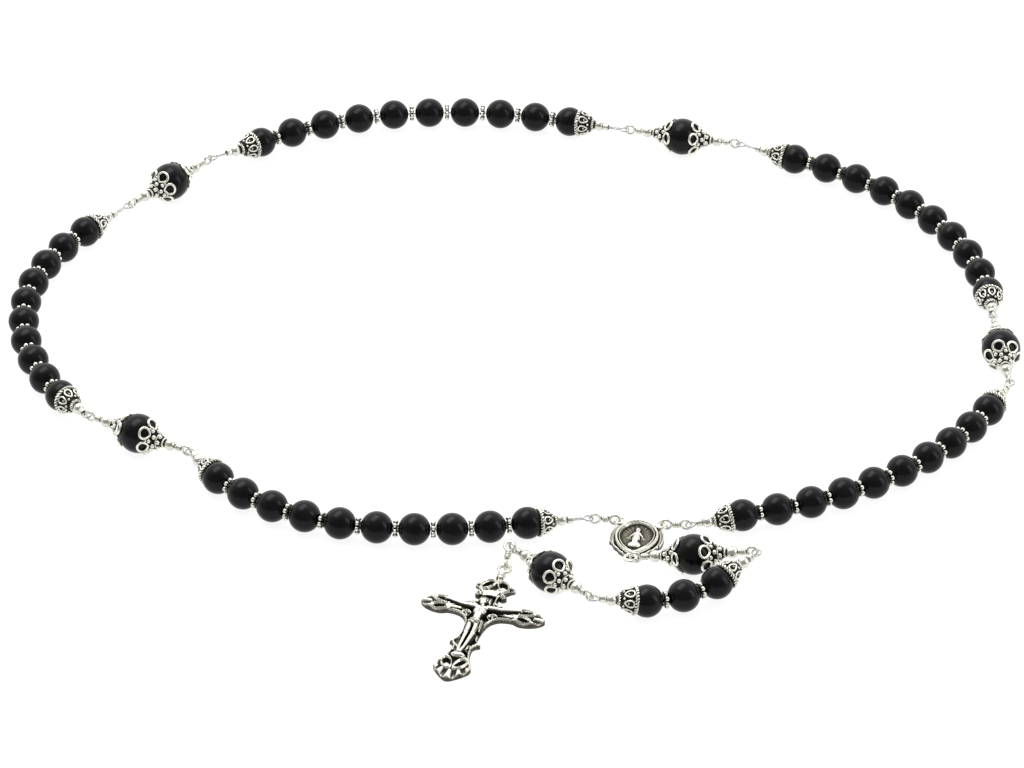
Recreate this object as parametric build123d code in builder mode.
from build123d import *
import os
from math import acos, asin, cos, degrees, radians, sin, tan

# A five-decade rosary laid out on a table.
# Frame: +Z up, the table is z = 0, the origin is the middle of the medal's flat back.
# Lengths are millimetres, headings are degrees from +X towards +Y.

os.makedirs("parts", exist_ok=True)

# ---------------------------------------------------------------- driving sizes

bead_diameter = 8.0
bead_hole_diameter = 1.2
big_bead_diameter = 10.0
round_bead_diameter = 3.0
cord_diameter = 0.5            # flexible beading wire inside the strands
eye_wire_diameter = 0.7        # silver wire of the eyes of pins and links
pin_diameter = 0.64            # the same wire's straight shank, drawn a little thinner
pin_clearance = 0.075          # radial, big bead on its eye pin

bead_radius = bead_diameter / 2
big_bead_radius = big_bead_diameter / 2
cord_radius = cord_diameter / 2
pin_radius = pin_diameter / 2
eye_wire_radius = eye_wire_diameter / 2

# spacers between the beads
granule_count = 8
granule_radius = 0.62
granule_circle = 1.76
spacer_hub_radius = 1.6
spacer_hub_thickness = 0.84
spacer_bore_radius = 0.65

# rope-edged bead cap: distances from the centre of the end bead
cap_rope_at = 2.95
cap_rope_circle = 3.25
cap_rope_radius = 0.32
cap_tip_at = 7.0
cap_tip_circle = 1.0
cap_tip_radius = 0.25
cap_wall = 0.35

# pieces beyond the cap, measured from the centre of the end bead
round_bead_at = 8.7
crimp_at = 10.8
crimp_length = 1.4
crimp_outer_radius = 1.0
crimp_inner_radius = 0.62
leg_spacing = 0.55             # the cord's two legs side by side in the crimp
loop_radius = 1.1
loop_flare_radius = 0.45
strand_reach_short = 14.0      # end bead's centre to the far side of its loop

# big bead's flower cap and pin: distances from the centre of the bead
petal_count = 6
petal_angle = 37.7             # petal ring's centre, seen from the bead's centre
petal_distance = 5.5
petal_ring_radius = 1.22
petal_wire_radius = 0.38
flower_tip_at = 8.15
flower_round_bead_at = 9.75
coil_start = 11.6
coil_pitch = 0.65
coil_turns = 3
coil_wire_radius = 0.3
eye_radius = 1.25
pin_reach = 16.0               # bead's centre to the far side of an eye

medal_link_length = 7.4
crucifix_link_length = 7.9

# ---------------------------------------------------------------- layout

small_bead_height = bead_radius
end_loop_height = 5.0          # where a strand hooks onto a big bead's pin
tail_loop_height = 6.4         # the same, at the raised end of the last three beads
medal_heading = -11.0
medal_eyelet_x = 5.1
medal_eyelet_y = 6.1
medal_lower_eyelet_y = -9.0
medal_thickness = 2.1
eyelet_height = 1.4
eyelet_radius = 1.3
lower_eyelet_radius = 1.4
eyelet_wire_radius = 0.4
link_height_at_medal = 1.58
link_height_at_strand = 2.3
first_pin_height = 1.5         # where the tail's first eye hangs in the medal
crucifix_heading = 72.0
link_height_at_bail = 1.2
bail_height = 1.45
bail_radius = 1.45
bail_wire_radius = 0.45


def direction(heading, slope=0.0):
    """Unit vector at a heading, tilted up by slope."""
    flat = cos(radians(slope))
    return Vector(cos(radians(heading)) * flat, sin(radians(heading)) * flat, sin(radians(slope)))


def slope_for(rise, run):
    return degrees(asin(rise / run))


def hooked_on_loop(parent, overlap):
    """Where an upright eye's wire lies inside the flat loop that ends the parent."""
    return parent["end"] - parent["end_direction"] * overlap


def hooked_on_eye(parent, heading, overlap, slope=0.0):
    """Where a flat loop's own wire lies when the loop is hooked into the parent's upright eye."""
    return parent["end"] - direction(heading, slope) * overlap


def beside(outward):
    """From the cord's own line to the middle of its end loop, which lies to one side of it."""
    return outward.cross(Vector(0, 0, 1)).normalized() * (leg_spacing / 2)


def strand(start, heading, reach, pitch, count, bends, end_height, first_lift=0.0):
    """Beads on one cord. bends is the turn at each bead in the first and the second half."""
    climb = slope_for(small_bead_height + first_lift - start.Z, reach[0])
    start_direction = direction(heading, climb)
    centres = [start + start_direction * reach[0] - beside(start_direction * -1)]
    chords = []
    for index in range(count):
        heading += bends[0] if index < count / 2 else bends[1]
        if index < count - 1:
            drop = slope_for(small_bead_height - centres[-1].Z, pitch)
            chords.append(direction(heading, drop))
            centres.append(centres[-1] + chords[-1] * pitch)
    end_direction = direction(heading, slope_for(end_height - small_bead_height, reach[1]))
    return {
        "start": start,
        "start_direction": start_direction,
        "centres": centres,
        "chords": [start_direction] + chords + [end_direction],
        "reach": reach,
        "end": centres[-1] + end_direction * reach[1] + beside(end_direction),
        "end_direction": end_direction,
    }


def straight(start, heading, length, end_height):
    """A straight piece of wire with a ring at both ends."""
    run = direction(heading, slope_for(end_height - start.Z, length))
    return {"start": start, "start_direction": run, "end": start + run * length, "end_direction": run}


def big_bead_pin(start, heading):
    """An eye pin whose bead, at its middle, stands on the table."""
    return straight(start, heading, 2 * pin_reach, 2 * big_bead_radius - start.Z)


def on_medal(x, y, z):
    turned = Vector(x, y, z).rotate(Axis.Z, medal_heading)
    return Vector(turned.X, turned.Y, z)


long_reach = 17.0

# left side, from the medal round to the far end of decade 3
left_link = straight(
    on_medal(-medal_eyelet_x, medal_eyelet_y, link_height_at_medal) + direction(182) * 0.05,
    182, medal_link_length, link_height_at_strand)
decade_1 = strand(
    hooked_on_eye(left_link, 196, 0.75), 196, (16.7, strand_reach_short),
    9.25, 10, (-5.4, -8.7), end_loop_height)
father_1 = big_bead_pin(hooked_on_loop(decade_1, 1.4), 148)
decade_2 = strand(
    hooked_on_eye(father_1, 127, 1.4), 127, (strand_reach_short, long_reach),
    9.4, 10, (-7.2, -8.7), end_loop_height)
father_2 = big_bead_pin(hooked_on_loop(decade_2, 0.75), 49)
decade_3 = strand(
    hooked_on_eye(father_2, 38.65, 0.75), 38.65, (17.4, 17.4),
    9.85, 10, (-6.7, -5.3), end_loop_height)

# right side, from the medal round to the far eye of the third Our Father bead
right_link = straight(
    on_medal(medal_eyelet_x, medal_eyelet_y, link_height_at_medal) + direction(-11) * 0.05,
    -11, medal_link_length, link_height_at_strand)
decade_5 = strand(
    hooked_on_eye(right_link, 9, 1.3), 9, (14.1, strand_reach_short),
    8.95, 10, (5.2, 5.4), end_loop_height)
father_4 = big_bead_pin(hooked_on_loop(decade_5, 1.4), 93)
decade_4 = strand(
    hooked_on_eye(father_4, 91, 1.4), 91, (strand_reach_short, long_reach),
    9.65, 10, (6.8, 6.4), end_loop_height)
father_3 = big_bead_pin(hooked_on_loop(decade_4, 0.75), 165)

# tail, from the medal down to the crucifix
father_5 = big_bead_pin(on_medal(0, medal_lower_eyelet_y, first_pin_height) + direction(-14) * 0.05, -14)
final_three = strand(
    hooked_on_eye(father_5, 221, 0.75), 221, (strand_reach_short, strand_reach_short),
    9.2, 3, (-14.0, -6.2), tail_loop_height, 0.6)
father_6 = big_bead_pin(hooked_on_loop(final_three, 0.75), 128)
crucifix_link = straight(
    hooked_on_eye(father_6, 259, 1.2, -24), 259, crucifix_link_length, link_height_at_bail)
bail_centre = Vector(crucifix_link["end"].X, crucifix_link["end"].Y, 0) - direction(crucifix_heading) * 0.3

strands = {"decade_1": decade_1, "decade_2": decade_2, "decade_3": decade_3, "decade_4": decade_4,
           "decade_5": decade_5, "final_three": final_three}
fathers = {"our_father_1": father_1, "our_father_2": father_2, "our_father_3": father_3,
           "our_father_4": father_4, "our_father_5": father_5, "our_father_6": father_6}
links = {"left_medal_link": left_link, "right_medal_link": right_link, "crucifix_link": crucifix_link}


def place(point, along):
    """Location with local Z along the strand and local X as near upright as it can be."""
    sideways = Vector(0, 0, 1).cross(along).normalized()
    return Plane(origin=point, x_dir=along.cross(sideways), z_dir=along).location


def export(part, name):
    part.label = name
    export_step(part, f"parts/{name}.step")


def export_copies(name, piece, places):
    """Write the same piece at every place as one node of separate solids."""
    with BuildPart() as group:
        with Locations(*places):
            add(piece)
    export(group.part, name)


# ---------------------------------------------------------------- repeated pieces

with BuildPart() as small_bead:
    Sphere(bead_radius)
    Cylinder(bead_hole_diameter / 2, bead_diameter, mode=Mode.SUBTRACT)

with BuildPart() as big_bead:
    Sphere(big_bead_radius)
    Cylinder(pin_radius + pin_clearance, big_bead_diameter, mode=Mode.SUBTRACT)

with BuildPart() as spacer:
    Cylinder(spacer_hub_radius, spacer_hub_thickness)
    with PolarLocations(granule_circle, granule_count):
        Sphere(granule_radius)
    Cylinder(spacer_bore_radius, 2 * granule_radius, mode=Mode.SUBTRACT)

with BuildPart() as rope_cap:
    with BuildSketch(Plane.XZ):
        with BuildLine():
            outer = Spline((cap_rope_circle, cap_rope_at), (2.75, 4.6), (cap_tip_circle + 0.1, cap_tip_at))
            Line(outer @ 1, (cap_tip_circle - 0.25, cap_tip_at))
            inner = Spline((cap_tip_circle - 0.25, cap_tip_at - 0.1), (2.75 - cap_wall, 4.45),
                           (cap_rope_circle - cap_wall, cap_rope_at))
            Line((cap_tip_circle - 0.25, cap_tip_at), inner @ 0)
            Line(inner @ 1, outer @ 0)
        make_face()
    revolve(axis=Axis.Z)
    with Locations((0, 0, cap_rope_at)):
        Torus(cap_rope_circle, cap_rope_radius)
    with Locations((0, 0, cap_tip_at)):
        Torus(cap_tip_circle, cap_tip_radius)

with BuildPart() as strand_round_bead:
    Sphere(round_bead_diameter / 2)
    Cylinder(bead_hole_diameter / 2, round_bead_diameter, mode=Mode.SUBTRACT)

with BuildPart() as pin_round_bead:
    Sphere(round_bead_diameter / 2)
    Cylinder(pin_radius + pin_clearance, round_bead_diameter, mode=Mode.SUBTRACT)

with BuildPart() as crimp:
    with Locations((0, leg_spacing / 2, 0)):
        Cylinder(crimp_outer_radius, crimp_length)
        Cylinder(crimp_inner_radius, crimp_length, mode=Mode.SUBTRACT)

with BuildPart() as flower_cap:
    with BuildSketch(Plane.XZ):
        with BuildLine():
            Polyline((2.5, 4.85), (1.75, 6.6), (1.25, flower_tip_at), (0.7, flower_tip_at), (0.7, 5.4),
                     (2.0, 4.95), close=True)
        make_face()
    revolve(axis=Axis.Z)
    with Locations((0, 0, flower_tip_at - 0.1)):
        Torus(1.15, 0.25)
    petal_radius = petal_distance * sin(radians(petal_angle))
    petal_height = petal_distance * cos(radians(petal_angle))
    with PolarLocations(0, petal_count):
        with Locations(Location((petal_radius, 0, petal_height), (0, petal_angle, 0))):
            Torus(petal_ring_radius, petal_wire_radius)
    with PolarLocations(2.3, petal_count, start_angle=180 / petal_count):
        with Locations((0, 0, 5.75)):
            Sphere(0.62)
    with PolarLocations(1.45, petal_count):
        with Locations((0, 0, 7.1)):
            Sphere(0.62)


def end_loop(leg):
    """The cord's loop beyond the crimp: leg is the straight length between crimp and loop."""
    half = leg_spacing / 2
    spread = degrees(acos((half + loop_flare_radius) / (loop_flare_radius + loop_radius)))
    straight_leg = crimp_length / 2 + leg
    with BuildPart() as loop:
        with BuildLine(Plane.YZ) as route:
            out = Line((0, 0), (0, straight_leg))
            flare = JernArc(out @ 1, out % 1, loop_flare_radius, spread)
            bow = JernArc(flare @ 1, flare % 1, loop_radius, -(180 + 2 * spread))
            back = JernArc(bow @ 1, bow % 1, loop_flare_radius, spread)
            Line(back @ 1, (leg_spacing, 0))
        with BuildSketch(Plane.XY):
            Circle(cord_radius)
        sweep(path=route.line)
    return loop.part


def loop_depth():
    """From the end of the straight legs to the far side of the loop."""
    half = leg_spacing / 2
    spread = acos((half + loop_flare_radius) / (loop_flare_radius + loop_radius))
    return (loop_flare_radius + loop_radius) * sin(spread) + loop_radius


def ring_end(at, upright=True):
    """An eye whose far side is at the given height of the local Z axis."""
    turn = (90, 0, 0) if upright else (0, 90, 0)
    with Locations(Location((0, 0, at), turn)):
        Torus(eye_radius, eye_wire_radius)


def coil(middle):
    """Turns of wire wrapped round the stem, centred at middle."""
    for turn in range(coil_turns):
        with Locations((0, 0, middle + (turn - (coil_turns - 1) / 2) * coil_pitch)):
            Torus(pin_radius + coil_wire_radius - 0.04, coil_wire_radius)


stem_end = pin_reach - 2 * eye_radius + 0.15
coil_middle = coil_start + coil_pitch * (coil_turns - 1) / 2
with BuildPart() as eye_pin:
    Cylinder(pin_radius, 2 * stem_end)
    for side in (-1, 1):
        coil(side * coil_middle)
        ring_end(side * (pin_reach - eye_radius))


def wrapped_link(length, first_upright):
    """Two eyes joined by a wrapped stem, from local z = 0 to z = length."""
    with BuildPart() as link:
        # the stem is turned so that its seam stays clear of both eyes
        with Locations(Location((0, 0, length / 2), (0, 0, 45))):
            Cylinder(pin_radius, length - 4 * eye_radius + 0.3)
        coil(length / 2)
        ring_end(eye_radius, first_upright)
        ring_end(length - eye_radius)
    return link.part


# ---------------------------------------------------------------- strands

for name, run in strands.items():
    centres = run["centres"]
    chords = run["chords"]
    axes = [(chords[i] + chords[i + 1]).normalized() for i in range(len(centres))]
    outward = (chords[0] * -1, chords[-1])
    ends = (centres[0], centres[-1])

    # the cord cuts the corner at each bead, so each bead sits a little to the inside of its corner
    seats = [centres[i] + (chords[i + 1] - chords[i]) * (0.35 * bead_radius) for i in range(len(centres))]
    export_copies(f"{name}_beads", small_bead.part, [place(c, a) for c, a in zip(seats, axes)])
    gaps = [(centres[i] + centres[i + 1]) * 0.5 for i in range(len(centres) - 1)]
    export_copies(f"{name}_spacers", spacer.part, [place(g, a) for g, a in zip(gaps, chords[1:])])
    end_seats = (seats[0], seats[-1])
    export_copies(f"{name}_bead_caps", rope_cap.part, [place(e, o) for e, o in zip(end_seats, outward)])

    with BuildPart() as fittings:
        with Locations(*[place(e + o * round_bead_at, o) for e, o in zip(ends, outward)]):
            add(strand_round_bead.part)
        with Locations(*[place(e + o * crimp_at, o) for e, o in zip(ends, outward)]):
            add(crimp.part)
    export(fittings.part, f"{name}_end_beads_and_crimps")

    corners = [e + o * crimp_at for e, o in zip(ends, outward)]
    turns = [radians(chords[i].get_angle(chords[i + 1])) for i in range(len(centres))]
    radii = [0.4 * bead_diameter / tan(turn / 2) for turn in turns]
    with BuildLine() as route:
        FilletPolyline(corners[0], *centres, corners[1], radius=radii)
    with BuildPart() as cord:
        with BuildSketch(Plane(origin=corners[0], z_dir=chords[0])):
            Circle(cord_radius)
        sweep(path=route.line)
        for corner, o, reach in zip(corners, outward, run["reach"]):
            leg = reach - crimp_at - crimp_length / 2 - loop_depth()
            with Locations(place(corner, o)):
                add(end_loop(leg))
    export(cord.part, f"{name}_wire")

# ---------------------------------------------------------------- Our Father beads

for name, pin in fathers.items():
    along = pin["start_direction"]
    middle = pin["start"] + along * pin_reach
    both_ways = [place(middle, along), place(middle, along * -1)]
    export_copies(f"{name}_bead", big_bead.part, both_ways[:1])
    export_copies(f"{name}_eye_pin", eye_pin.part, both_ways[:1])
    export_copies(f"{name}_flower_caps", flower_cap.part, both_ways)
    round_places = [place(middle + along * side * flower_round_bead_at, along) for side in (-1, 1)]
    export_copies(f"{name}_round_beads", pin_round_bead.part, round_places)

# ---------------------------------------------------------------- links

for name, link in links.items():
    piece = wrapped_link((link["end"] - link["start"]).length, name != "crucifix_link")
    export_copies(name, piece, [place(link["start"], link["start_direction"])])

# ---------------------------------------------------------------- medal

plate_thickness = 1.2
oval_half_width = 5.35
rim_width = 0.5
field_thickness = 1.45


def oval(inset=0.0):
    """Pointed oval: round at the top, drawn to a point at the bottom."""
    with BuildSketch() as sketch:
        with BuildLine():
            shoulder = ThreePointArc((0, 6.7), (3.95, 4.6), (oval_half_width, 0.3))
            ThreePointArc(shoulder @ 1, (3.75, -4.5), (0, -7.7))
            mirror(about=Plane.YZ)
        make_face()
        if inset:
            offset(amount=-inset, mode=Mode.REPLACE)
    return sketch.sketch


with BuildPart() as medal:
    with BuildSketch():
        with BuildLine():
            top = Polyline((0, 7.4), (1.4, 7.2), (2.0, 6.6), (4.3, 5.8))
            wing = ThreePointArc(top @ 1, (6.6, 2.4), (6.5, -2.3))
            Polyline(wing @ 1, (5.5, -2.9), (4.9, -4.4), (3.9, -5.1), (3.3, -6.2), (1.5, -7.3), (0, -7.6))
            mirror(about=Plane.YZ)
        make_face()
    extrude(amount=plate_thickness)
    with BuildSketch():
        add(oval())
    extrude(amount=medal_thickness)
    with BuildSketch(Plane.XY.offset(field_thickness)):
        add(oval(rim_width))
    extrude(amount=medal_thickness, mode=Mode.SUBTRACT)
    # inner rim
    with BuildSketch(Plane.XY.offset(field_thickness)):
        add(oval(rim_width + 0.35))
        add(oval(rim_width + 0.75), mode=Mode.SUBTRACT)
    extrude(amount=0.4)
    # standing figure in a plain robe on a globe, with open arms
    with BuildSketch(Plane.XY.offset(field_thickness)):
        Trapezoid(2.5, 4.6, 78)
        with Locations((0, -2.6)):
            Ellipse(1.9, 0.9)
    extrude(amount=0.5)
    with Locations((0, 3.0, field_thickness + 0.2)):
        Sphere(0.75)
    for side in (-1, 1):
        with BuildSketch(Plane.XY.offset(field_thickness)):
            with Locations(Location((side * 1.5, 0.4, 0), (0, 0, side * -42))):
                SlotOverall(2.6, 0.7)
        extrude(amount=0.4)
    # eyelets for the two side links and for the tail
    with Locations((-medal_eyelet_x, medal_eyelet_y, eyelet_height),
                   (medal_eyelet_x, medal_eyelet_y, eyelet_height)):
        Torus(eyelet_radius, eyelet_wire_radius)
    with Locations((0, medal_lower_eyelet_y, eyelet_height)):
        Torus(lower_eyelet_radius, eyelet_wire_radius)

with BuildPart() as placed_medal:
    with Locations(Location((0, 0, 0), (0, 0, medal_heading))):
        add(medal.part)
export(placed_medal.part, "medal")

# ---------------------------------------------------------------- crucifix

arm_tip = 15.8
top_fan_y = 13.6
foot_tip_y = -28.6
bail_y = 17.0
cross_thickness = 1.6
fan_corner = 2.9

with BuildPart() as crucifix:
    with BuildSketch():
        with BuildLine():
            Polyline(
                (0, top_fan_y), (1.6, 13.0), (4.3, 10.6), (4.6, 9.3), (2.6, 7.2), (2.1, 5.2), (2.3, 3.2),
                (4.6, 2.1), (8.0, 2.0), (9.6, 3.0), (11.8, fan_corner), (14.4, 1.8), (arm_tip, 0),
                (14.4, -1.8), (11.8, -fan_corner), (9.6, -3.0), (8.0, -2.1), (4.8, -2.6), (2.9, -4.6),
                (2.3, -8.0), (2.3, -12.3), (3.7, -13.1), (3.4, -14.4), (2.4, -15.2), (2.7, -18.4),
                (3.9, -21.0), (4.5, -23.6), (3.2, -26.2), (1.4, -27.6), (0, foot_tip_y))
            mirror(about=Plane.YZ)
        make_face()
    extrude(amount=cross_thickness)
    # pairs of oval openings in the four fans
    with BuildSketch():
        for x, y, turn in ((10.4, 1.45, 15), (10.4, -1.45, -15), (1.9, 10.2, -60), (1.7, -22.4, 65)):
            for side in (-1, 1):
                with Locations(Location((side * x, y, 0), (0, 0, side * turn))):
                    Ellipse(1.35, 0.72)
    extrude(amount=cross_thickness, mode=Mode.SUBTRACT)
    # blank scroll above the head
    with BuildSketch(Plane.XY.offset(cross_thickness)):
        with Locations(Location((0, 6.4, 0), (0, 0, 8))):
            SlotOverall(5.2, 1.9)
    extrude(amount=0.6)
    # bail
    with Locations((0, bail_y, bail_height)):
        Torus(bail_radius, bail_wire_radius)
    with Locations(Location((0, 14.4, bail_height), (90, 0, 0))):
        Cylinder(0.9, 2.6)
    with Locations((0, 0, -5)):
        Box(80, 80, 10, mode=Mode.SUBTRACT)

hands_x = 9.0


def limb(start, end, start_radius, end_radius):
    """A rounded limb from start to end."""
    run = Vector(*end) - Vector(*start)
    with Locations(Plane(origin=Vector(*start) + run * 0.5, z_dir=run).location):
        Cone(start_radius, end_radius, run.length)
    with Locations(start):
        Sphere(start_radius)
    with Locations(end):
        Sphere(end_radius)


with BuildPart() as corpus:
    face = cross_thickness
    with Locations((0.3, 1.9, face + 1.0)):
        Sphere(1.15)
    limb((0, -0.9, face + 0.7), (0, -4.6, face + 0.6), 1.45, 1.1)
    limb((0, -5.2, face + 0.6), (0.2, -7.4, face + 0.6), 1.35, 1.5)
    for side in (-1, 1):
        limb((side * 1.3, -0.6, face + 0.6), (side * 5.0, -0.3, face + 0.4), 0.75, 0.6)
        limb((side * 5.0, -0.3, face + 0.4), (side * hands_x, 0.7, face + 0.3), 0.6, 0.5)
        limb((side * 0.65, -7.4, face + 0.6), (side * 0.55 + 0.3, -11.6, face + 0.9), 0.85, 0.65)
        limb((side * 0.55 + 0.3, -11.6, face + 0.9), (side * 0.3, -18.0, face + 0.3), 0.65, 0.5)
    with Locations((0, 0, face - 5)):
        Box(40, 60, 10, mode=Mode.SUBTRACT)

cross_place = Location(bail_centre - direction(crucifix_heading) * bail_y, (0, 0, crucifix_heading - 90))
for name, piece in (("crucifix", crucifix), ("corpus", corpus)):
    export_copies(name, piece.part, [cross_place])
